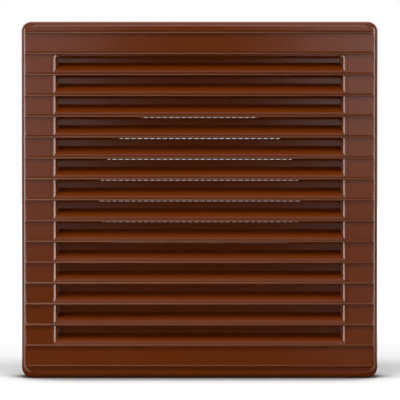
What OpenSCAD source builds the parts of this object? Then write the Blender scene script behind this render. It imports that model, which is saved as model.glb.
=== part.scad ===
// Square louvred ventilation grille for a wall, with a round collar for a duct.
// The louvred front pushes onto a frame that is screwed to the wall. The collar
// locks into the frame from the front, and an insect screen lies in its mouth.
// Millimetres. +Z is up and the front faces -Y. The wall's face is the plane y = 0,
// and the origin is on the duct's axis.

/* [Front] */
// Outer width and height of the front
size = 200; // [170:5:250]
// How far the front stands out from the wall
front_depth = 20; // [19:0.5:30]
// Number of moulded lips from top to bottom
lip_count = 17; // [13:2:21]
// How far the row of lips stops short of the outer edge, top and bottom
lip_margin = 0.45; // [0:0.05:2]
// From the outer edge to the wall of the opening, left and right
border_w = 21; // [19:0.1:30]
// Radius of the outer corners, seen from the front
corner_r = 5.5; // [4.5:0.5:12]
// Radius that rounds the outer edge
edge_r = 3; // [2:0.1:4]
// Radius that rounds the sides of the opening
open_edge_r = 4; // [2:0.1:5]
// Width of the smooth rim around the stepped faces
rim_w = 2.1; // [1.5:0.1:4]
// Width of the slope at the edge of the stepped faces
rim_slope = 0.9; // [0.5:0.1:1.5]
// Corner radius of the stepped faces
field_corner_r = 7; // [4:0.5:12]
// Radius of the rounded lower edge of each lip
lip_r = 1.6; // [1.4:0.1:2]
// How far each lip overhangs the face below it
lip_step = 1.2; // [0.6:0.1:1.5]
// Wall thickness behind the deepest line of the face
face_t = 2.2; // [1.6:0.1:3]
// Thickness of the skirt and of the opening's own walls
skirt_t = 2; // [1.6:0.1:3]

/* [Louvres] */
// Thickness of the louvres
slat_t = 1.8; // [1.2:0.1:2.4]
// Angle of the louvres above the horizontal
slat_angle = 45; // [38:1:55]
// Height of the upstand at the back of each louvre
upstand_h = 4.1; // [3:0.1:6]
// Thickness of the upstand
upstand_t = 1.5; // [1.2:0.1:2]
// Backward lean of the upstand, in degrees
upstand_lean = 6; // [0:1:12]
// Level gap that is left between an upstand and the lip above it
sight_gap = 0.15; // [0.05:0.05:1]

/* [Wall frame] */
// Thickness of the frame's plate
plate_t = 2.5; // [2:0.1:4]
// Height of the frame's rim from the wall
rim_h = 9; // [7:0.5:12]
// Gap between the frame's rim and the skirt around it
rim_gap = 0.4; // [0.2:0.1:0.8]
// Distance of the wall screws from the outer edge of the front
screw_inset = 16; // [13:0.5:18]
// Thickness of the stiffening ribs
rib_t = 1.6; // [1.2:0.1:2.4]

/* [Push fit] */
// Diameter of the four split pegs on the front
peg_d = 6; // [5:0.5:7]
// Gap around each peg in its socket
peg_gap = 0.06; // [0.02:0.02:0.2]

/* [Duct collar] */
// Inner diameter of the duct that the collar fits
duct_d = 125; // [80:1:125]
// Gap between the collar and the duct, on the radius
duct_gap = 0.4; // [0.1:0.05:0.5]
// Wall thickness of the collar
collar_t = 2; // [1.5:0.1:3]
// How far the collar reaches behind the wall's face
collar_len = 34; // [20:1:60]
// Width of the collar's flange
flange_w = 4.9; // [3.5:0.1:6]

/* [Insect screen] */
// Distance between the upright bars
mesh_x = 3.6; // [3:0.1:6]
// Distance between the level bars
mesh_z = 4; // [3:0.1:6]
// Width of the bars
mesh_bar = 1.25; // [0.8:0.05:1.6]
// Width of the screen's rim
screen_rim = 2.5; // [2:0.1:4]

/* [Wall screws] */
// Diameter of the screws' thread
screw_d = 3.8; // [3:0.1:4.5]
// Length of thread that stands out behind the frame
screw_out = 28; // [15:1:50]

/* [Hidden] */
$fn = 96;
eps = 0.01;
half = size / 2;
pitch = (size - 2 * lip_margin) / lip_count;
// the front's faces: y of the lips' tips, of the deepest line, and of the inside
tip_y = -front_depth;
valley_y = tip_y + lip_step;
inner_y = valley_y + face_t;
// the rim lies a little below the deepest line, and the stepped faces slope down to it
rim_y = valley_y + 0.1;
field_half = half - rim_w;
field_drop = rim_y - tip_y + 0.05;
skirt_y = -0.5;
// the lip's rounding: its centre lies lip_up above the lip's lower edge
lip_turn = acos(1 - lip_step / lip_r);
lip_up = lip_r * sin(lip_turn);
lip_low = 0.62;
function lip_z(k) = half - lip_margin - (k + 0.5) * pitch - lip_low;
lip_cy = tip_y + lip_r;
lip_steps = 8;
// slots lie between the second lip and the last but one
first_slot = 1;
last_slot = lip_count - 2;
// the opening
open_w = 2 * (half - border_w);
open_top = lip_z(first_slot) - 0.8;
open_bottom = lip_z(last_slot) + lip_up + 1.9;
open_h = open_top - open_bottom;
open_cz = (open_top + open_bottom) / 2;
open_r = 1.4;
// where the corners of the opening begin, above the upper end of the lip below them
low_corner_up = open_bottom + open_r - face_touch(last_slot)[1];
top_corner_up = open_top - open_r - face_touch(first_slot + 1)[1];
well_y = tip_y + 9;
// the wall frame
frame_half = half - skirt_t - rim_gap;
rim_t = 2;
frame_corner = corner_r - skirt_t - rim_gap + 0.4;
screw_xz = half - screw_inset;
boss_r = 6.5;
boss_y = -6;
lug_count = 3;
lug_w = 14;
lug_t = 1.6;
// the collar
collar_r = duct_d / 2 - duct_gap;
bore_r = collar_r - collar_t;
pilot_r = collar_r + 1;
hole_r = pilot_r + 0.3;
flange_r = collar_r + flange_w;
flange_t = 2;
flange_y = -plate_t - flange_t;
seat_r = flange_r + 0.3;
ring_r = seat_r + 3;
// the insect screen
screen_t = 2;
ledge_y = 2;
screen_r = bore_r - 0.2;
field_r = screen_r - screen_rim;
upright_count = floor((field_r - 0.5) / mesh_x);
level_count = floor((field_r - 0.5) / mesh_z + 0.5);
bar_t = 1;
nub_h = 0.35;
upright_y = 0.4;
level_y = 0.8;
// the pegs
peg_r = peg_d / 2;
socket_r = peg_r + peg_gap;
socket_wall = 2;
socket_floor = 1;
peg_x = half - 11.4;
peg_z = 52;
peg_end = -plate_t - 0.7;
// the screws
screw_r = screw_d / 2;
neck_r = screw_r + 0.2;
screw_hole_r = neck_r + 0.25;
head_r = screw_d;
head_h = 2.6;

brown = [0.40, 0.17, 0.08];
dark_brown = [0.30, 0.12, 0.06];
zinc = [0.75, 0.75, 0.74];

// lifts a flat shape drawn in X and Z into a slab between two depths
module slab(y0, y1) {
    translate([0, y1, 0]) rotate([90, 0, 0]) linear_extrude(y1 - y0) children();
}

// runs a profile drawn in Y and Z along X
module run_x(w) {
    rotate([90, 0, 90]) linear_extrude(w, center = true) children();
}

// turns a profile drawn in radius and Y about the duct's axis
module turn_y(angle = 360) {
    rotate([-90, 0, 0]) rotate_extrude(angle = angle) children();
}

module round_rect(w, h, r) {
    square([w - 2 * r, h], center = true);
    square([w, h - 2 * r], center = true);
    for (x = [-1, 1], z = [-1, 1]) {
        translate([x * (w / 2 - r), z * (h / 2 - r)]) circle(r);
    }
}

// copies to both sides, left and right
module sides() {
    for (s = [-1, 1]) scale([s, 1, 1]) children();
}

// points along an arc, without its last one
function arc(c, r, from, to, steps) =
    [for (i = [0 : steps - 1]) let (t = from + (to - from) * i / steps) c + r * [cos(t), sin(t)]];

// the direction from c in which a line from p touches the circle of radius r
function touch_turn(c, r, p) = let (v = p - c) (atan2(v[1], v[0]) + 360) % 360 + acos(r / norm(v));

function lip_centre(k) = [lip_cy, lip_z(k) + lip_up];
function face_turn(k) = touch_turn(lip_centre(k), lip_r, [valley_y, lip_z(k - 1)]);
function face_touch(k) = lip_centre(k) + lip_r * [cos(face_turn(k)), sin(face_turn(k))];

// the outline of one step of the face, from the deep line under a lip down round the next lip
function face_step(k) = concat([[valley_y, lip_z(k - 1)]],
    arc(lip_centre(k), lip_r, face_turn(k), 180 + lip_turn, lip_steps));

// the whole stepped front, seen from the side
module stepped_face() {
    polygon(concat([[skirt_y, lip_z(-1)]], [for (k = [0 : lip_count]) each face_step(k)],
                   [[valley_y, lip_z(lip_count)], [skirt_y, lip_z(lip_count)]]));
}

// a square block whose front edge follows a profile, drawn outwards from the flat
// middle in X and forwards over the given depth in Y
module profiled_block(w, corner, front_y, back_y, depth, edge_w) {
    flat = w / 2 - corner;
    slab(front_y + depth, back_y) round_rect(w, w, corner);
    slab(front_y, front_y + depth) {
        square([2 * flat, w - 2 * edge_w], center = true);
        square([w - 2 * edge_w, 2 * flat], center = true);
    }
    for (turn = [0 : 90 : 270]) rotate([0, turn, 0]) {
        translate([flat, front_y + depth, 0]) rotate([180, 0, 0])
            linear_extrude(2 * flat, center = true) children();
        translate([flat, front_y + depth, flat]) rotate([90, 0, 0])
            rotate_extrude(angle = 90) children();
    }
}

// the block with the smooth rounded rim
module rim_block() {
    profiled_block(size, corner_r, rim_y, skirt_y, edge_r, edge_r) {
        square([corner_r - edge_r, edge_r]);
        translate([corner_r - edge_r, 0]) intersection() {
            circle(edge_r);
            square(edge_r);
        }
    }
}

// the space of the stepped faces inside the rim
module field_block() {
    r = field_corner_r;
    profiled_block(2 * field_half, r, tip_y, inner_y - 0.4, field_drop, rim_slope)
        polygon([[0, 0], [r, 0], [r - rim_slope, field_drop], [0, field_drop]]);
}

// the section of one louvre: its lip, the sloping blade and the upstand behind
module louvre_section(k) {
    c = lip_centre(k);
    up = [cos(slat_angle), sin(slat_angle)];
    out = [-sin(slat_angle), cos(slat_angle)];
    top_z = lip_z(k - 1) + lip_up - lip_r - sight_gap;
    lean = [sin(upstand_lean), cos(upstand_lean)];
    back = [cos(upstand_lean), -sin(upstand_lean)];
    a = c + lip_r * out;
    kink_z = top_z - upstand_h;
    kink = a + up * ((kink_z - a[1]) / up[1]);
    top = kink + lean * upstand_h;
    // where the back of the upstand meets the back of the blade
    b = a - slat_t * out;
    q = kink + upstand_t * back;
    s = ((b - q)[0] * up[1] - (b - q)[1] * up[0]) / (lean[0] * up[1] - lean[1] * up[0]);
    polygon(concat(arc(c, lip_r, 90 + slat_angle, 300, 2 * lip_steps),
                   [b + 0.8 * lip_r * up, q + s * lean, top + upstand_t * back, top, kink]));
}

// the air that the side of an opening loses to its rounded edge
module rim_round() {
    difference() {
        translate([-eps, -1]) square([open_edge_r + eps, open_edge_r + 1]);
        translate([open_edge_r, open_edge_r]) circle(open_edge_r);
    }
}

// moves to where the face's step k meets the opening's right wall, with the face level
module on_step(k, x) {
    low = face_touch(k);
    high = [valley_y, lip_z(k - 1)];
    translate([x, low[0], low[1]]) rotate([-atan2(high[0] - low[0], high[1] - low[1]), 0, 0])
        children();
}

// the length of the face's step k
function step_length(k) = norm([valley_y, lip_z(k - 1)] - face_touch(k));

// rounds the opening's right edge along the face's step k, between two heights on it
module side_round(k, from, to) {
    on_step(k, open_w / 2) translate([0, 0, from]) linear_extrude(to - from) rim_round();
}

// carries that rounding on round a corner of the opening, down (0) or up (-90)
module corner_round(k, up, turn) {
    on_step(k, open_w / 2 - open_r) intersection() {
        translate([0, 0, up]) rotate([-90, turn, 0])
            rotate_extrude(angle = 90) translate([open_r, 0]) rim_round();
        translate([-open_r, -2, -open_edge_r])
            cube([2 * open_r + open_edge_r + 2, open_edge_r + 4, open_edge_r + step_length(k) - 0.05]);
    }
}

// the rounded nose of one lip, without the faces above and below it
module lip_nose(k) {
    touch = face_touch(k);
    polygon(concat(arc(lip_centre(k), lip_r, face_turn(k), 180 + lip_turn, lip_steps),
                   [[valley_y, lip_z(k)], [inner_y - 0.6, lip_z(k)], [inner_y - 0.6, touch[1]]]));
}

// a split peg that points to the wall
module peg() {
    slot_w = 1.2;
    slot_l = 7;
    difference() {
        rotate([-90, 0, 0]) translate([0, 0, inner_y - eps]) {
            cylinder(r = peg_r, h = peg_end - 1 - inner_y + eps);
            translate([0, 0, peg_end - 1 - inner_y + eps])
                cylinder(r1 = peg_r, r2 = peg_r - 0.8, h = 1);
        }
        for (turn = [0, 90]) rotate([0, turn, 0])
            translate([-slot_w / 2, peg_end - slot_l, -peg_r - 1])
                cube([slot_w, slot_l + 1, 2 * peg_r + 2]);
    }
}

module front_grille() color(brown) {
    difference() {
        union() {
            rim_block();
            intersection() {
                field_block();
                run_x(size + 2) stepped_face();
            }
        }
        // the hollow behind the face
        slab(inner_y, 1) difference() {
            round_rect(size - 2 * skirt_t, size - 2 * skirt_t, corner_r - skirt_t);
            translate([0, open_cz])
                round_rect(open_w + 2 * skirt_t, open_h + 2 * skirt_t, open_r + skirt_t);
        }
        slab(well_y, 1) square(size - 2 * skirt_t - 2 * corner_r, center = true);
        // the opening
        slab(tip_y - 1, 1) translate([0, open_cz]) round_rect(open_w, open_h, open_r);
        translate([-open_w / 2, tip_y - 1, lip_z(last_slot) + lip_up])
            cube([open_w, 3, 1.9 + open_r]);
        sides() {
            side_round(first_slot + 1, 0, top_corner_up);
            for (k = [first_slot + 2 : last_slot - 1]) side_round(k, 0, step_length(k));
            side_round(last_slot, low_corner_up, step_length(last_slot));
            corner_round(first_slot + 1, top_corner_up, -90);
            corner_round(last_slot, low_corner_up, 0);
        }
        // the gap for a screwdriver under the skirt, and two drain gaps
        translate([-9, -3, -half - 1]) cube([18, 4, skirt_t + 2]);
        sides() translate([half - 52, -2.2, -half - 1]) cube([10, 4, skirt_t + 2]);
    }
    for (k = [first_slot + 1 : last_slot]) run_x(open_w + 3.8) louvre_section(k);
    run_x(open_w + 2 * open_edge_r + 2) lip_nose(last_slot);
    // ribs that stiffen the border and stop against the frame's rim
    sides() for (z = [-66, -22, 22, 66])
        translate([open_w / 2 + skirt_t - 0.5, inner_y - 0.5, z - rib_t / 2])
            cube([half - skirt_t - open_w / 2 - skirt_t + 1, -rim_h - 0.05 - inner_y + 0.5, rib_t]);
    for (x = [-66, -22, 22, 66]) {
        translate([x - rib_t / 2, inner_y - 0.5, open_top + skirt_t - 0.5])
            cube([rib_t, -rim_h - 0.05 - inner_y + 0.5, half - skirt_t - open_top - skirt_t + 1]);
        translate([x - rib_t / 2, inner_y - 0.5, -half + skirt_t - 0.5])
            cube([rib_t, -rim_h - 0.05 - inner_y + 0.5, half - skirt_t + open_bottom - skirt_t + 1]);
    }
    sides() for (z = [-peg_z, peg_z]) translate([peg_x, 0, z]) {
        peg();
        translate([-peg_r - 2.5, inner_y - 0.5, -rib_t / 2]) cube([2 * peg_r + 5, 4.5, rib_t]);
    }
}

module socket() {
    rotate([-90, 0, 0]) translate([0, 0, -rim_h])
        cylinder(r = socket_r + socket_wall, h = rim_h - plate_t + 0.5);
}

module wall_frame() color(brown) {
    difference() {
        union() {
            slab(-plate_t, 0) round_rect(2 * frame_half, 2 * frame_half, frame_corner);
            // rim
            slab(-rim_h, 0) difference() {
                round_rect(2 * frame_half, 2 * frame_half, frame_corner);
                round_rect(2 * (frame_half - rim_t), 2 * (frame_half - rim_t), frame_corner - rim_t + 1);
            }
            // ring that holds the collar
            turn_y() translate([hole_r - 0.5, -7]) square([ring_r - hole_r + 0.5, 7]);
            for (x = [-1, 1], z = [-1, 1]) translate([x * screw_xz, 0, z * screw_xz])
                rotate([90, 0, 0]) cylinder(r = boss_r, h = -boss_y);
            sides() for (z = [-peg_z, peg_z]) translate([peg_x, 0, z]) socket();
            // ribs from the ring out to the rim and to the screw bosses
            for (turn = [0 : 90 : 270]) rotate([0, turn, 0])
                translate([ring_r - 1, -6.4, -rib_t / 2])
                    cube([frame_half - rim_t - ring_r + 2, 6.4, rib_t]);
            for (turn = [45 : 90 : 315]) rotate([0, turn, 0])
                translate([ring_r - 1, boss_y + 0.6, -rib_t / 2])
                    cube([screw_xz * sqrt(2) - screw_hole_r - ring_r, -boss_y - 0.6, rib_t]);
        }
        // the collar's hole and the seat of its flange
        turn_y() translate([0, -plate_t - eps]) square([hole_r, plate_t + 1]);
        turn_y() translate([0, -8]) square([seat_r, 8 - plate_t]);
        for (x = [-1, 1], z = [-1, 1]) translate([x * screw_xz, 1, z * screw_xz])
            rotate([90, 0, 0]) cylinder(r = screw_hole_r, h = 12);
        sides() for (z = [-peg_z, peg_z]) translate([peg_x, -socket_floor, z])
            rotate([90, 0, 0]) cylinder(r = socket_r, h = 12);
        // drain gaps in the lower rim
        sides() translate([half - 52, -rim_h - 1, -frame_half - 1])
            cube([10, 5, rim_t + 2]);
    }
    // lugs that hold the collar's flange down
    for (k = [0 : lug_count - 1]) rotate([0, 90 + k * 360 / lug_count, 0])
        intersection() {
            translate([flange_r - 2.2, flange_y - 0.1 - lug_t, -lug_w / 2])
                cube([ring_r - flange_r + 1.2, lug_t, lug_w]);
            turn_y() translate([flange_r - 2.2, -8]) square([ring_r - flange_r + 1.2, 8]);
        }
}

module duct_collar() color(brown) {
    difference() {
        turn_y() polygon([[bore_r, flange_y], [flange_r, flange_y], [flange_r, -plate_t],
            [pilot_r, -plate_t], [pilot_r, 0], [collar_r, 0], [collar_r, collar_len - 2],
            [collar_r - 0.9, collar_len], [bore_r, collar_len], [bore_r, ledge_y + 3],
            [field_r, ledge_y + 1.5], [field_r, ledge_y], [bore_r, ledge_y]]);
        // gaps in the flange that let it pass the lugs before it is turned
        for (k = [0 : lug_count - 1]) rotate([0, 30 + k * 360 / lug_count, 0])
            translate([flange_r - 2.6, flange_y - 1, -lug_w / 2 - 1])
                cube([4, flange_t + 1 + eps, lug_w + 2]);
    }
    // nubs that the screen snaps behind
    for (k = [0 : 2]) rotate([0, k * 120, 0]) intersection() {
        turn_y() translate([bore_r - nub_h, -1.2]) square([nub_h + 0.5, 1.1]);
        translate([0, -2, -6]) cube([bore_r + 1, 3, 12]);
    }
}

// the length of a bar whose middle line is this far off the centre
function bar_length(off) = 2 * sqrt(pow(field_r + 0.9, 2) - pow(off, 2));

module insect_screen() color(dark_brown) {
    slab(0, screen_t) difference() {
        circle(screen_r);
        circle(field_r);
    }
    for (i = [-upright_count : upright_count]) {
        x = i * mesh_x;
        translate([x - mesh_bar / 2, upright_y, -bar_length(x) / 2]) cube([mesh_bar, bar_t, bar_length(x)]);
    }
    for (i = [-level_count : level_count - 1]) {
        z = (i + 0.5) * mesh_z;
        translate([-bar_length(z) / 2, level_y, z - mesh_bar / 2]) cube([bar_length(z), bar_t, mesh_bar]);
    }
}

module screw() color(zinc) difference() {
    turn_y() polygon([[0, boss_y - head_h], [head_r * 0.55, boss_y - head_h],
        [head_r * 0.85, boss_y - head_h * 0.8], [head_r, boss_y - head_h * 0.35], [head_r, boss_y],
        [neck_r, boss_y], [neck_r, 0], [screw_r, 0], [screw_r, screw_out - 4], [0.4, screw_out],
        [0, screw_out]]);
    // cross recess
    for (turn = [45, 135]) rotate([0, turn, 0])
        translate([-2.2, boss_y - head_h - 1, -0.45]) cube([4.4, 2.6, 0.9]);
}

module screw_at(x, z) translate([x * screw_xz, 0, z * screw_xz]) screw();

module screw_top_left() screw_at(-1, 1);
module screw_top_right() screw_at(1, 1);
module screw_bottom_left() screw_at(-1, -1);
module screw_bottom_right() screw_at(1, -1);

front_grille();
wall_frame();
duct_collar();
insect_screen();
screw_top_left();
screw_top_right();
screw_bottom_left();
screw_bottom_right();
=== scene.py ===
# %% [markdown]
# # A louvred wall grille
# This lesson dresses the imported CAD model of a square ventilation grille. The CAD
# solids give every place and size. The script gives them the uneven gloss of
# moulded brown plastic, draws the insect screen again with rounded bars and the
# screws with raised threads, and sets up a studio. Everything is in metres, +Z is
# up and the front faces -Y.

# %% Load the frame
import math

import bmesh
import bpy
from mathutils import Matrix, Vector


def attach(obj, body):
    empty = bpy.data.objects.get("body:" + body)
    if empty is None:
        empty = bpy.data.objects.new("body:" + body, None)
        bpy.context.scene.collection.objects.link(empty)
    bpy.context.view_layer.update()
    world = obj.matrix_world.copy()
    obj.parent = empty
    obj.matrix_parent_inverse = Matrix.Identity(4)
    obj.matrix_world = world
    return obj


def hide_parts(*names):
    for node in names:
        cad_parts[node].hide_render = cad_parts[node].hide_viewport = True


def in_mm(corners):
    """Corners in millimetres, for printing."""
    return [[round(1000 * value, 2) for value in corner] for corner in corners]


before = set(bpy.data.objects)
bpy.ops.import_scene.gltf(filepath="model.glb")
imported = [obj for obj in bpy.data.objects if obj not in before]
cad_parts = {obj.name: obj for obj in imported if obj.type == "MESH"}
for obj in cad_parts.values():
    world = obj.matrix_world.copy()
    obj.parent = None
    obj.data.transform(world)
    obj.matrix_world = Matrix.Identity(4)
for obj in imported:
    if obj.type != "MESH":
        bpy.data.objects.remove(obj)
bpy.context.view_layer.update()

# %% [markdown]
# ## The camera
# The photograph looks at the front from about a metre away, a little above the
# middle of the louvres. The lens is long, so the rim's sides are hidden.

# %% Camera
FRONT_Y = -0.020                  # the foremost plane of the grille
VIEW_DISTANCE = 1.0
VIEW_WIDTH = 0.224                # what the picture spans in that plane
VIEW_RISE = 0.014                 # how far above the middle the camera stands
VIEW_RIGHT, VIEW_DOWN = 0.00023, 0.0001  # small shifts of the grille in the picture
SENSOR_WIDTH = 36                 # millimetres

camera_data = bpy.data.cameras.new("camera")
camera_data.sensor_width = SENSOR_WIDTH
camera_data.lens = SENSOR_WIDTH * VIEW_DISTANCE / VIEW_WIDTH
camera = bpy.data.objects.new("camera", camera_data)
camera.location = (VIEW_RIGHT, FRONT_Y - VIEW_DISTANCE, VIEW_RISE - VIEW_DOWN)
pitch = math.atan(VIEW_RISE / VIEW_DISTANCE)
camera.rotation_euler = (math.pi / 2 - pitch, 0, 0)
bpy.context.scene.collection.objects.link(camera)
bpy.context.scene.camera = camera
bpy.context.scene.view_settings.view_transform = "Standard"
print("lens", round(camera_data.lens, 1), "mm")

# %% [markdown]
# ## Shader sums in Python
# A material is a small calculation that runs at each point of a surface. Written
# as plain Python, `0.3 + 0.1 * noise` is easier to read than three nodes, so one
# class wraps a node's output and turns the operators into Math nodes.

# %% Shader maths
class Wire:
    """One output of a node, which adds a Math node for each operator."""

    def __init__(self, tree, socket):
        self.tree = tree
        self.socket = socket

    def _math(self, operation, first, second):
        return make_node(self.tree, "ShaderNodeMath", {"operation": operation},
                         {0: first, 1: second})

    def __add__(self, other):
        return self._math("ADD", self, other)

    def __sub__(self, other):
        return self._math("SUBTRACT", self, other)

    def __rsub__(self, other):
        return self._math("SUBTRACT", other, self)

    def __mul__(self, other):
        return self._math("MULTIPLY", self, other)

    def __truediv__(self, other):
        return self._math("DIVIDE", self, other)

    def at_most(self, other):
        return self._math("MINIMUM", self, other)

    def root(self):
        return make_node(self.tree, "ShaderNodeMath", {"operation": "SQRT"}, {0: self})

    __radd__ = __add__
    __rmul__ = __mul__


def make_node(tree, kind, settings, inputs, output=0):
    """Adds a node, first its settings and then its inputs, and gives one output."""
    made = tree.nodes.new(kind)
    for name, value in settings.items():
        setattr(made, name, value)
    for name, value in inputs.items():
        if isinstance(value, Wire):
            tree.links.new(value.socket, made.inputs[name])
        else:
            made.inputs[name].default_value = value
    return Wire(tree, made.outputs[output])


def new_material(name):
    """An empty node material."""
    made = bpy.data.materials.new(name)
    made.use_nodes = True
    made.node_tree.nodes.clear()
    return made, made.node_tree


def finish_surface(tree, shader):
    """Joins a shader to the material's output."""
    out = tree.nodes.new("ShaderNodeOutputMaterial")
    tree.links.new(shader.socket, out.inputs["Surface"])


def spot_on_object(tree):
    """The shaded spot in the object's own measures."""
    return make_node(tree, "ShaderNodeTexCoord", {}, {}, "Object")


def mixed(tree, share, first, second):
    """A colour between two colours."""
    return make_node(tree, "ShaderNodeMix", {"data_type": "RGBA"},
                     {0: share, 6: first, 7: second}, 2)


def eased(tree, value, low, high):
    """0 up to the low value, 1 from the high one on, and a soft step between."""
    return make_node(tree, "ShaderNodeMapRange", {"interpolation_type": "SMOOTHSTEP"},
                     {"Value": value, "From Min": low, "From Max": high})


def glow(tree, colour, level):
    """A surface that gives light of its own."""
    return make_node(tree, "ShaderNodeEmission", {}, {
        "Color": colour, "Strength": level})


def ray_is(tree, kind):
    """1 for rays of one kind, such as those from the camera."""
    return make_node(tree, "ShaderNodeLightPath", {}, {}, kind)


print("shader helpers are ready")

# %% [markdown]
# ## The studio
# The grille stands on its lower edge on a white table that runs on into a white
# background. The world is white only for the camera and in reflections, so it
# doesn't wash out the brown. The table fades to white away from the grille. It
# keeps the shadows that the lamps cast, and the camera sees a painted shadow right
# under the grille's edge.

# %% World
AMBIENT = 0.006                   # what the world gives to matt surfaces
WHITE = (1, 1, 1, 1)

world = bpy.data.worlds.new("studio")
world.use_nodes = True
tree = world.node_tree
tree.nodes.clear()
looked_at = (ray_is(tree, "Is Camera Ray") + ray_is(tree, "Is Glossy Ray")
             + ray_is(tree, "Is Transmission Ray"))
sky = make_node(tree, "ShaderNodeBackground", {}, {
    "Color": WHITE, "Strength": AMBIENT + (1 - AMBIENT) * looked_at.at_most(1.0)})
world_out = tree.nodes.new("ShaderNodeOutputWorld")
tree.links.new(sky.socket, world_out.inputs["Surface"])
bpy.context.scene.world = world
print("world", world.name, "with an ambient level of", AMBIENT)

# %% White table
# the camera sees the table painted between TABLE_LIT and TABLE_SHADED; the shaded
# colour is a painted contact shadow under the grille's edge
TABLE_LIT = (0.76, 0.76, 0.76, 1)
TABLE_SHADED = (0.17, 0.16, 0.15, 1)
TABLE_LIFT = 0.15                 # the glow that the camera sees near the grille
FADE_START, FADE_END = 0.16, 0.7  # between them the table fades to pure white
FREE_SHARE = 0.90                 # a spot with this much open sky counts as free
FLOOR_Z = -0.1001
FLOOR_REACH = 6


def open_sky(tree, reach, least):
    """0 where no more than the least share of the sky is open within reach, 1 where
    nothing stands in it."""
    share = make_node(tree, "ShaderNodeAmbientOcclusion", {"samples": 16},
                      {"Distance": reach}, "AO")
    return eased(tree, share, least, FREE_SHARE)


def flat_sheet(name, centre, right, up, material):
    """A rectangle given by its centre and its two half sides."""
    centre, right, up = Vector(centre), Vector(right), Vector(up)
    corners = [centre - right - up, centre + right - up,
               centre + right + up, centre - right + up]
    mesh = bpy.data.meshes.new(name)
    mesh.from_pydata(corners, [], [(0, 1, 2, 3)])
    mesh.materials.append(material)
    made = bpy.data.objects.new(name, mesh)
    bpy.context.scene.collection.objects.link(made)
    return made


table_white, tree = new_material("table_white")
distance = make_node(tree, "ShaderNodeVectorMath", {"operation": "LENGTH"},
                     {0: spot_on_object(tree)}, "Value")
far_away = eased(tree, distance, FADE_START, FADE_END)
# painted shadow: the camera sees the table painted darker right under the grille's
# edge, where little light gets in
hidden = 1 - open_sky(tree, reach=0.048, least=0.46)
outside_painted_shadow = 1 - hidden * ray_is(tree, "Is Camera Ray")
shade = mixed(tree, outside_painted_shadow, TABLE_SHADED, TABLE_LIT)
lit = make_node(tree, "ShaderNodeBsdfDiffuse", {}, {"Color": shade})
# the camera's glow on the table is dimmed in the painted shadow as well
seen = (TABLE_LIFT * outside_painted_shadow + far_away) * ray_is(tree, "Is Camera Ray")
lift = glow(tree, WHITE, seen)
finish_surface(tree, make_node(tree, "ShaderNodeAddShader", {}, {0: lit, 1: lift}))

floor = flat_sheet("floor", (0, 0, FLOOR_Z), (FLOOR_REACH, 0, 0),
                   (0, FLOOR_REACH, 0), table_white)
print("floor at", floor.data.vertices[0].co.z)

# %% [markdown]
# ## The lamps
# Each lamp has a place on a dome round the grille: an azimuth, which is 0 straight
# in front and positive to the right, and an elevation. A wide lamp high in front
# gives most of the light, and falls on the slopes of the lips. Two weaker ones
# beside the grille light the borders and the table.

# %% Lamps
def on_dome(azimuth, elevation, radius):
    """A point on a dome round the middle of the front."""
    turn, rise = math.radians(azimuth), math.radians(elevation)
    return (radius * math.sin(turn) * math.cos(rise),
            FRONT_Y - radius * math.cos(turn) * math.cos(rise),
            radius * math.sin(rise))


def soft_box(name, azimuth, elevation, radius, size, power):
    """A rectangular area lamp on the dome that faces the grille."""
    data = bpy.data.lights.new(name, "AREA")
    data.shape = "RECTANGLE"
    data.size, data.size_y = size
    data.energy = power
    made = bpy.data.objects.new(name, data)
    made.location = on_dome(azimuth, elevation, radius)
    made.rotation_euler = (-made.location).to_track_quat("-Z", "Y").to_euler()
    made.visible_glossy = False
    bpy.context.scene.collection.objects.link(made)
    print(name, power, "W")


soft_box("lamp_above", azimuth=0, elevation=72, radius=2.8, size=(2.6, 0.74), power=75)
soft_box("lamp_left", azimuth=-72, elevation=25, radius=1.4, size=(0.6, 0.9), power=10)
soft_box("lamp_right", azimuth=72, elevation=25, radius=1.4, size=(0.6, 0.9), power=6)

# %% [markdown]
# ## What the plastic mirrors
# A glossy brown part shows its room more than its own colour. The cards below are
# seen by reflections alone. Tall boxes on both sides draw the long lines on the
# rounded edges. Windows and fainter veils in front lay a pale sheen on the flat
# faces, and a high card lights what faces up. Round them all stands a dark room,
# so the white world shows only in what faces the wall.

# %% Cards
CARD_RADIUS, ROOM_RADIUS = 1.3, 1.5
CARD_COLUMNS, CARD_ROWS = 12, 8   # the faces of a card's mesh

# name: azimuths, elevations, level
CARDS = {
    "box_left": ((-66, -42), (-10, 23), 7.8),
    "box_right": ((32, 57), (-10, 23), 8.8),
    "window_left": ((-26, -15), (12, 34), 2.6),
    "window_right": ((15, 30), (12, 32), 2.4),
    "veil_left_high": ((-15, -6), (14, 26), 0.95),
    "veil_left": ((-15, -6), (9, 15), 0.50),
    "veil_right_high": ((6, 15), (15, 26), 1.3),
    "veil_right": ((6, 15), (4, 15), 0.38),
    "veil_above": ((-12, 13), (26, 46), 0.7),
    "high_front": ((-60, 60), (52, 88), 0.7),
}


def only_mirrored(made):
    """Hides an object from everything but reflections."""
    made.visible_camera = made.visible_diffuse = False
    made.visible_shadow = made.visible_transmission = False


def between(ends, step, steps):
    """One of the evenly spaced values between two ends."""
    return ends[0] + (ends[1] - ends[0]) * step / steps


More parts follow.
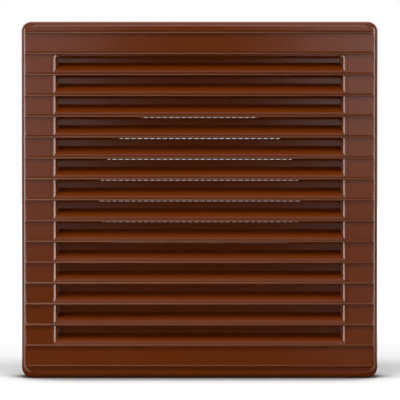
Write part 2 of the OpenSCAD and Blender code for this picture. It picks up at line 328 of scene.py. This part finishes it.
def card(name, azimuths, elevations, level, radius=CARD_RADIUS):
    """A glowing piece of the dome between two azimuths and two elevations."""
    spots = [on_dome(between(azimuths, column, CARD_COLUMNS),
                     between(elevations, row, CARD_ROWS), radius)
             for row in range(CARD_ROWS + 1) for column in range(CARD_COLUMNS + 1)]
    in_a_row = CARD_COLUMNS + 1
    faces = [(k, k + 1, k + in_a_row + 1, k + in_a_row)
             for k in range(CARD_ROWS * in_a_row) if (k + 1) % in_a_row]
    mesh = bpy.data.meshes.new(name)
    mesh.from_pydata(spots, [], faces)
    glowing, tree = new_material(name)
    finish_surface(tree, glow(tree, WHITE, level))
    mesh.materials.append(glowing)
    made = bpy.data.objects.new(name, mesh)
    bpy.context.scene.collection.objects.link(made)
    only_mirrored(made)


for name, (azimuths, elevations, level) in CARDS.items():
    card(name, azimuths, elevations, level)
card("dark_room", (-97, 97), (-89, 89), AMBIENT, ROOM_RADIUS)
print("cards", list(CARDS))

# %% [markdown]
# ## The table in reflections
# The floor itself is hidden from reflections, and two glowing sheets stand for it.
# The undersides of the lips mirror the table close in front, which is brighter on
# the left and warm from the brown that shines back on it; its glow is painted
# darker close to the grille, as a painted shadow. Under the grille the table lies
# in shadow, and a dark sheet stands in for that shadow, so what faces straight down
# mirrors next to nothing.

# %% Mirrored table
NEAR_LEFT, NEAR_RIGHT = 3.1, 1.6  # the near table's level at the grille's two sides
GRILLE_LEFT, GRILLE_RIGHT = -0.1, 0.1
WARM = (1, 0.74, 0.52, 1)
SHEET_HALF_WIDTH = 0.5
NEAR_Y, NEAR_Z, NEAR_HALF_DEPTH = -0.105, -0.0999, 0.07
SHADED_Y, SHADED_Z, SHADED_HALF_DEPTH = -0.10, -0.1003, 0.16

floor.visible_glossy = False

near_table, tree = new_material("near_table")
across = make_node(tree, "ShaderNodeSeparateXYZ", {},
                   {"Vector": spot_on_object(tree)}, "X")
level = make_node(tree, "ShaderNodeMapRange", {}, {
    "Value": across, "From Min": GRILLE_LEFT, "From Max": GRILLE_RIGHT,
    "To Min": NEAR_LEFT, "To Max": NEAR_RIGHT})
# painted shadow: the sheet's glow is dimmed close to the grille, where the table lies
# in its shade
level = level * open_sky(tree, reach=0.014, least=0.30)
finish_surface(tree, glow(tree, WARM, level))
only_mirrored(flat_sheet("near_table", (0, NEAR_Y, NEAR_Z), (SHEET_HALF_WIDTH, 0, 0),
                         (0, NEAR_HALF_DEPTH, 0), near_table))

# a dark sheet, seen only in reflections, that stands in for the table's shadow under
# the grille
shaded_table, tree = new_material("shaded_table")
finish_surface(tree, glow(tree, WHITE, AMBIENT))
only_mirrored(flat_sheet("shaded_table", (0, SHADED_Y, SHADED_Z),
                         (SHEET_HALF_WIDTH, 0, 0), (0, SHADED_HALF_DEPTH, 0),
                         shaded_table))
print("mirrored sheets at", NEAR_Z, "and", SHADED_Z)

# %% [markdown]
# ## Moulded brown plastic
# The real finish looks like a semi-gloss polypropylene: one colour through and
# through, with a gloss that is a little uneven where the plastic flowed and cooled.
# The colour barely varies, so most of the character comes from roughness and bump.

# %% Brown plastic
FLOW_STRETCH = (9, 30, 34)        # the flow marks are long across the front
GRAIN = 900.0
DARKER, LIGHTER = 0.88, 1.10      # how far the colour strays from its mean
FLOW_ON_GLOSS, GRAIN_ON_GLOSS = 0.10, 0.04
GRAIN_IN_RELIEF = 0.25            # the grain's height next to that of the flow marks


def moulded_plastic(name, colour, roughness):
    """A moulded plastic with faint flow marks, a fine grain and an uneven gloss."""
    made, tree = new_material(name)
    place = spot_on_object(tree)
    stretched = make_node(tree, "ShaderNodeMapping", {}, {
        "Vector": place, "Scale": FLOW_STRETCH})
    broad = make_node(tree, "ShaderNodeTexNoise", {}, {
        "Vector": stretched, "Scale": 1.0, "Detail": 3.0})
    fine = make_node(tree, "ShaderNodeTexNoise", {}, {
        "Vector": place, "Scale": GRAIN, "Detail": 2.0})
    darker = tuple(DARKER * value for value in colour)
    lighter = tuple(LIGHTER * value for value in colour)
    tint = mixed(tree, broad, (*darker, 1), (*lighter, 1))
    gloss = (roughness + FLOW_ON_GLOSS * (broad - 0.5)
             + GRAIN_ON_GLOSS * (fine - 0.5))
    relief = make_node(tree, "ShaderNodeBump", {}, {
        "Strength": 0.10, "Distance": 0.0002,
        "Height": GRAIN_IN_RELIEF * fine + broad})
    finish_surface(tree, make_node(tree, "ShaderNodeBsdfPrincipled", {}, {
        "Base Color": tint, "Roughness": gloss, "Normal": relief, "IOR": 1.49}))
    return made


brown_gloss = moulded_plastic("brown_gloss", (0.118, 0.0203, 0.0010), roughness=0.17)
brown_moulding = moulded_plastic("brown_moulding", (0.105, 0.0240, 0.0056),
                                 roughness=0.36)
brown_screen = moulded_plastic("brown_screen", (0.070, 0.0190, 0.0055), roughness=0.48)

zinc_steel, tree = new_material("zinc_steel")
patches = make_node(tree, "ShaderNodeTexVoronoi", {}, {
    "Vector": spot_on_object(tree), "Scale": 700.0})
finish_surface(tree, make_node(tree, "ShaderNodeBsdfPrincipled", {}, {
    "Base Color": (0.66, 0.66, 0.63, 1), "Metallic": 1.0,
    "Roughness": 0.26 + 0.16 * patches}))
print("materials", [made.name for made in bpy.data.materials])

# %% Give the CAD pieces their finish
FINISH = {"front_grille": brown_gloss, "wall_frame": brown_moulding,
          "duct_collar": brown_moulding, "insect_screen": brown_screen}
for name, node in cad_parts.items():
    node.data.materials.clear()
    node.data.materials.append(FINISH.get(name, zinc_steel))
print("finished", sorted(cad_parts))

# %% [markdown]
# ## Geometry Nodes in Python
# What repeats by a rule is drawn once by a node tree: the bars of the screen and
# the turns of the threads. A tree gets one named input for each size, so a reader
# can change a size without touching the nodes. The finished shape is then turned
# into a plain mesh, because the library keeps meshes, not modifiers.

# %% Tree helpers
SHARP_ANGLE = math.radians(32)    # edges that turn more than this stay sharp


def new_shape_tree(name, sizes):
    """A geometry tree with the given sizes as inputs, and the wires of those inputs."""
    tree = bpy.data.node_groups.new(name, "GeometryNodeTree")
    for way in ("INPUT", "OUTPUT"):
        tree.interface.new_socket("Geometry", in_out=way,
                                  socket_type="NodeSocketGeometry")
    for label, value in sizes.items():
        kind = "NodeSocketInt" if isinstance(value, int) else "NodeSocketFloat"
        tree.interface.new_socket(label, in_out="INPUT", socket_type=kind)
    entry = tree.nodes.new("NodeGroupInput")
    return tree, {socket.name: Wire(tree, socket)
                  for socket in entry.outputs if socket.name}


def vector(tree, **parts):
    """A vector with the given X, Y and Z, and 0 for what isn't given."""
    return make_node(tree, "ShaderNodeCombineXYZ", {}, parts)


def placed(tree, shape, **change):
    """A shape with a new Translation, Rotation or Scale."""
    return make_node(tree, "GeometryNodeTransform", {}, {"Geometry": shape, **change})


def swept(tree, path, outline, caps):
    """An outline swept along a path, with or without caps on its ends."""
    return make_node(tree, "GeometryNodeCurveToMesh", {}, {
        "Curve": path, "Profile Curve": outline, "Fill Caps": caps})


def copied(tree, points, shape, **change):
    """A copy of a shape on each point."""
    return make_node(tree, "GeometryNodeInstanceOnPoints", {}, {
        "Points": points, "Instance": shape, **change})


def joined(tree, *parts):
    """Several shapes as one."""
    join = tree.nodes.new("GeometryNodeJoinGeometry")
    for part in parts:
        tree.links.new(part.socket, join.inputs[0])
    return Wire(tree, join.outputs[0])


def finish_shape(tree, shape, material):
    """Ends a tree in real, dressed geometry."""
    real = make_node(tree, "GeometryNodeRealizeInstances", {}, {"Geometry": shape})
    dressed = make_node(tree, "GeometryNodeSetMaterial", {}, {
        "Geometry": real, "Material": material})
    out = tree.nodes.new("NodeGroupOutput")
    tree.links.new(dressed.socket, out.inputs[0])


def grown(name, tree, sizes, start=None):
    """Runs a tree once and keeps the result as a plain mesh."""
    made = bpy.data.objects.new(name, start or bpy.data.meshes.new(name))
    bpy.context.scene.collection.objects.link(made)
    modifier = made.modifiers.new(name, "NODES")
    modifier.node_group = tree
    for item in tree.interface.items_tree:
        if item.in_out == "INPUT" and item.name in sizes:
            modifier[item.identifier] = sizes[item.name]
    view = bpy.context.evaluated_depsgraph_get()
    mesh = bpy.data.meshes.new_from_object(made.evaluated_get(view))
    made.modifiers.remove(modifier)
    made.data = mesh
    mesh.name = name
    # a start mesh without a material leaves an empty slot before the tree's own
    if mesh.materials[0] is None:
        mesh.materials.pop(index=0)
    mesh.shade_smooth()
    mesh.set_sharp_from_angle(angle=SHARP_ANGLE)
    print(name, len(mesh.vertices), "points", len(mesh.polygons), "faces")
    print(name, "box", in_mm([made.bound_box[0], made.bound_box[6]]))
    return made


print("tree helpers are ready")

# %% [markdown]
# ## The insect screen
# Behind the louvres a moulded screen lies in the collar's mouth. It has a flat rim
# and two layers of crossing bars: the upright bars in front, the level ones behind.
# Each bar is one short rounded strip, stretched to reach the rim where it stands.

# %% Insect screen
SCREEN = {
    "Field radius": 0.0574, "Rim width": 0.0025, "Rim depth": 0.002,
    "Bar width": 0.00125, "Bar depth": 0.001, "Edge": 0.00018,
    "Upright pitch": 0.0036, "Upright count": 31, "Upright place": 0.0009,
    "Level pitch": 0.004, "Level count": 28, "Level place": 0.0013}
BAR_END = 0.0009                  # how far the bars run into the rim
RIM_STEPS = 128


def strip_profile(tree, width, depth, edge):
    """The rounded outline of a moulded strip."""
    outline = make_node(tree, "GeometryNodeCurvePrimitiveQuadrilateral", {}, {
        "Width": width, "Height": depth})
    return make_node(tree, "GeometryNodeFilletCurve", {"mode": "POLY"}, {
        "Curve": outline, "Count": 2, "Radius": edge, "Limit Radius": True})


def bar_row(tree, size, pitch, count, place, turn):
    """A row of bars in a circle, each as long as the circle is wide there."""
    first = vector(tree, X=(count - 1) * pitch * -0.5, Z=place)
    stands = make_node(tree, "GeometryNodeMeshLine", {}, {
        "Count": count, "Start Location": first, "Offset": vector(tree, X=pitch)})
    where = make_node(tree, "GeometryNodeInputPosition", {}, {})
    across = make_node(tree, "ShaderNodeSeparateXYZ", {}, {"Vector": where}, "X")
    reach = size["Field radius"] + BAR_END
    half_length = (reach * reach - across * across).root()
    path = make_node(tree, "GeometryNodeCurvePrimitiveLine", {}, {
        "Start": (0, -1, 0), "End": (0, 1, 0)})
    outline = strip_profile(tree, size["Bar width"], size["Bar depth"], size["Edge"])
    row = copied(tree, stands, swept(tree, path, outline, True),
                 Scale=vector(tree, X=1.0, Y=half_length, Z=1.0))
    return placed(tree, row, Rotation=(0, 0, turn))


tree, size = new_shape_tree("screen_grid", SCREEN)
uprights = bar_row(tree, size, size["Upright pitch"], size["Upright count"],
                   size["Upright place"], 0)
levels = bar_row(tree, size, size["Level pitch"], size["Level count"],
                 size["Level place"], math.pi / 2)
ring = make_node(tree, "GeometryNodeCurvePrimitiveCircle", {}, {
    "Resolution": RIM_STEPS, "Radius": size["Field radius"] + 0.5 * size["Rim width"]})
outline = strip_profile(tree, size["Rim width"], size["Rim depth"], size["Edge"])
rim = placed(tree, swept(tree, ring, outline, False),
             Translation=vector(tree, Z=0.5 * size["Rim depth"]))
# the grid is drawn lying down, and then stands up with its depth into the wall
standing = placed(tree, joined(tree, uprights, levels, rim),
                  Rotation=(-math.pi / 2, 0, 0))
finish_shape(tree, standing, brown_screen)
screen = grown("screen_grid", tree, SCREEN)
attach(screen, "wall_side")
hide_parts("insect_screen")

# %% [markdown]
# ## The wall screws
# Four zinc plated screws hold the frame. Their heads and necks come from the CAD
# solids. A real shank has a thin core with a raised thread, which is a sharp
# ridge swept along a helix, once along the shank and once round the point.

# %% Screw heads
SCREW_NODES = ["screw_top_left", "screw_top_right",
               "screw_bottom_left", "screw_bottom_right"]
WELD = 2e-6                       # points nearer than this become one
NECK_END = 0.0002                 # the plane at which the drawn shank takes over

heads = bmesh.new()
for name in SCREW_NODES:
    heads.from_mesh(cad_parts[name].data)
bmesh.ops.remove_doubles(heads, verts=heads.verts, dist=WELD)
cut = bmesh.ops.bisect_plane(
    heads, geom=heads.verts[:] + heads.edges[:] + heads.faces[:],
    plane_co=(0, NECK_END, 0), plane_no=(0, 1, 0), clear_outer=True)
rims = [item for item in cut["geom_cut"] if isinstance(item, bmesh.types.BMEdge)]
bmesh.ops.contextual_create(heads, geom=rims)
heads_mesh = bpy.data.meshes.new("screw_heads")
heads.to_mesh(heads_mesh)
print("open edges", sum(edge.is_boundary for edge in heads.edges))
heads.free()

# %% Screw threads
THREAD = {
    "Core radius": 0.00125, "Ridge height": 0.00064, "Ridge width": 0.00024,
    "Thread pitch": 0.0018, "Shank length": 0.024, "Point length": 0.004,
    "Square": 0.168}
ROUND_STEPS = 20                  # sides of the shank, and steps in one turn
BARE_NECK, BARE_POINT = 0.0006, 0.0008  # what the thread leaves free at its two ends
TIP_RADIUS, TIP_GAP = 0.0001, 0.0001    # the blunt tip, and what it stays short by
LAST_RADIUS = 0.0002              # the helix's radius where the thread ends


def ridge(tree, size, first_radius, last_radius, height, start):
    """The thread's ridge along a helix between two radii."""
    helix = make_node(tree, "GeometryNodeCurveSpiral", {}, {
        "Resolution": ROUND_STEPS, "Rotations": height / size["Thread pitch"],
        "Start Radius": first_radius, "End Radius": last_radius, "Height": height})
    upright = make_node(tree, "GeometryNodeSetCurveNormal", {"mode": "Z_UP"}, {
        "Curve": helix})
    diamond = make_node(tree, "GeometryNodeCurvePrimitiveCircle", {}, {
        "Resolution": 4, "Radius": 1.0})
    diamond = placed(tree, diamond, Scale=vector(
        tree, X=size["Ridge height"], Y=size["Ridge width"], Z=1.0))
    return placed(tree, swept(tree, upright, diamond, True),
                  Translation=vector(tree, Z=start))


tree, size = new_shape_tree("screw_threads", THREAD)
core, shank, point_length = (
    size["Core radius"], size["Shank length"], size["Point length"])
rod = make_node(tree, "GeometryNodeMeshCylinder", {}, {
    "Vertices": ROUND_STEPS, "Radius": core, "Depth": shank})
rod = placed(tree, rod, Translation=vector(tree, Z=0.5 * shank))
point = make_node(tree, "GeometryNodeMeshCone", {}, {
    "Vertices": ROUND_STEPS, "Radius Top": TIP_RADIUS, "Radius Bottom": core,
    "Depth": point_length - TIP_GAP})
point = placed(tree, point, Translation=vector(tree, Z=shank))
turns = ridge(tree, size, core, core, shank - BARE_NECK, BARE_NECK)
last_turns = ridge(tree, size, core, LAST_RADIUS, point_length - BARE_POINT, shank)
corners = make_node(tree, "GeometryNodeMeshGrid", {}, {
    "Size X": size["Square"], "Size Y": size["Square"],
    "Vertices X": 2, "Vertices Y": 2})
four = copied(tree, corners, joined(tree, rod, point, turns, last_turns))
four = placed(tree, four, Rotation=(-math.pi / 2, 0, 0))
finish_shape(tree, joined(tree, size["Geometry"], four), zinc_steel)
screws = grown("wall_screws", tree, THREAD, heads_mesh)
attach(screws, "wall_side")
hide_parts(*SCREW_NODES)
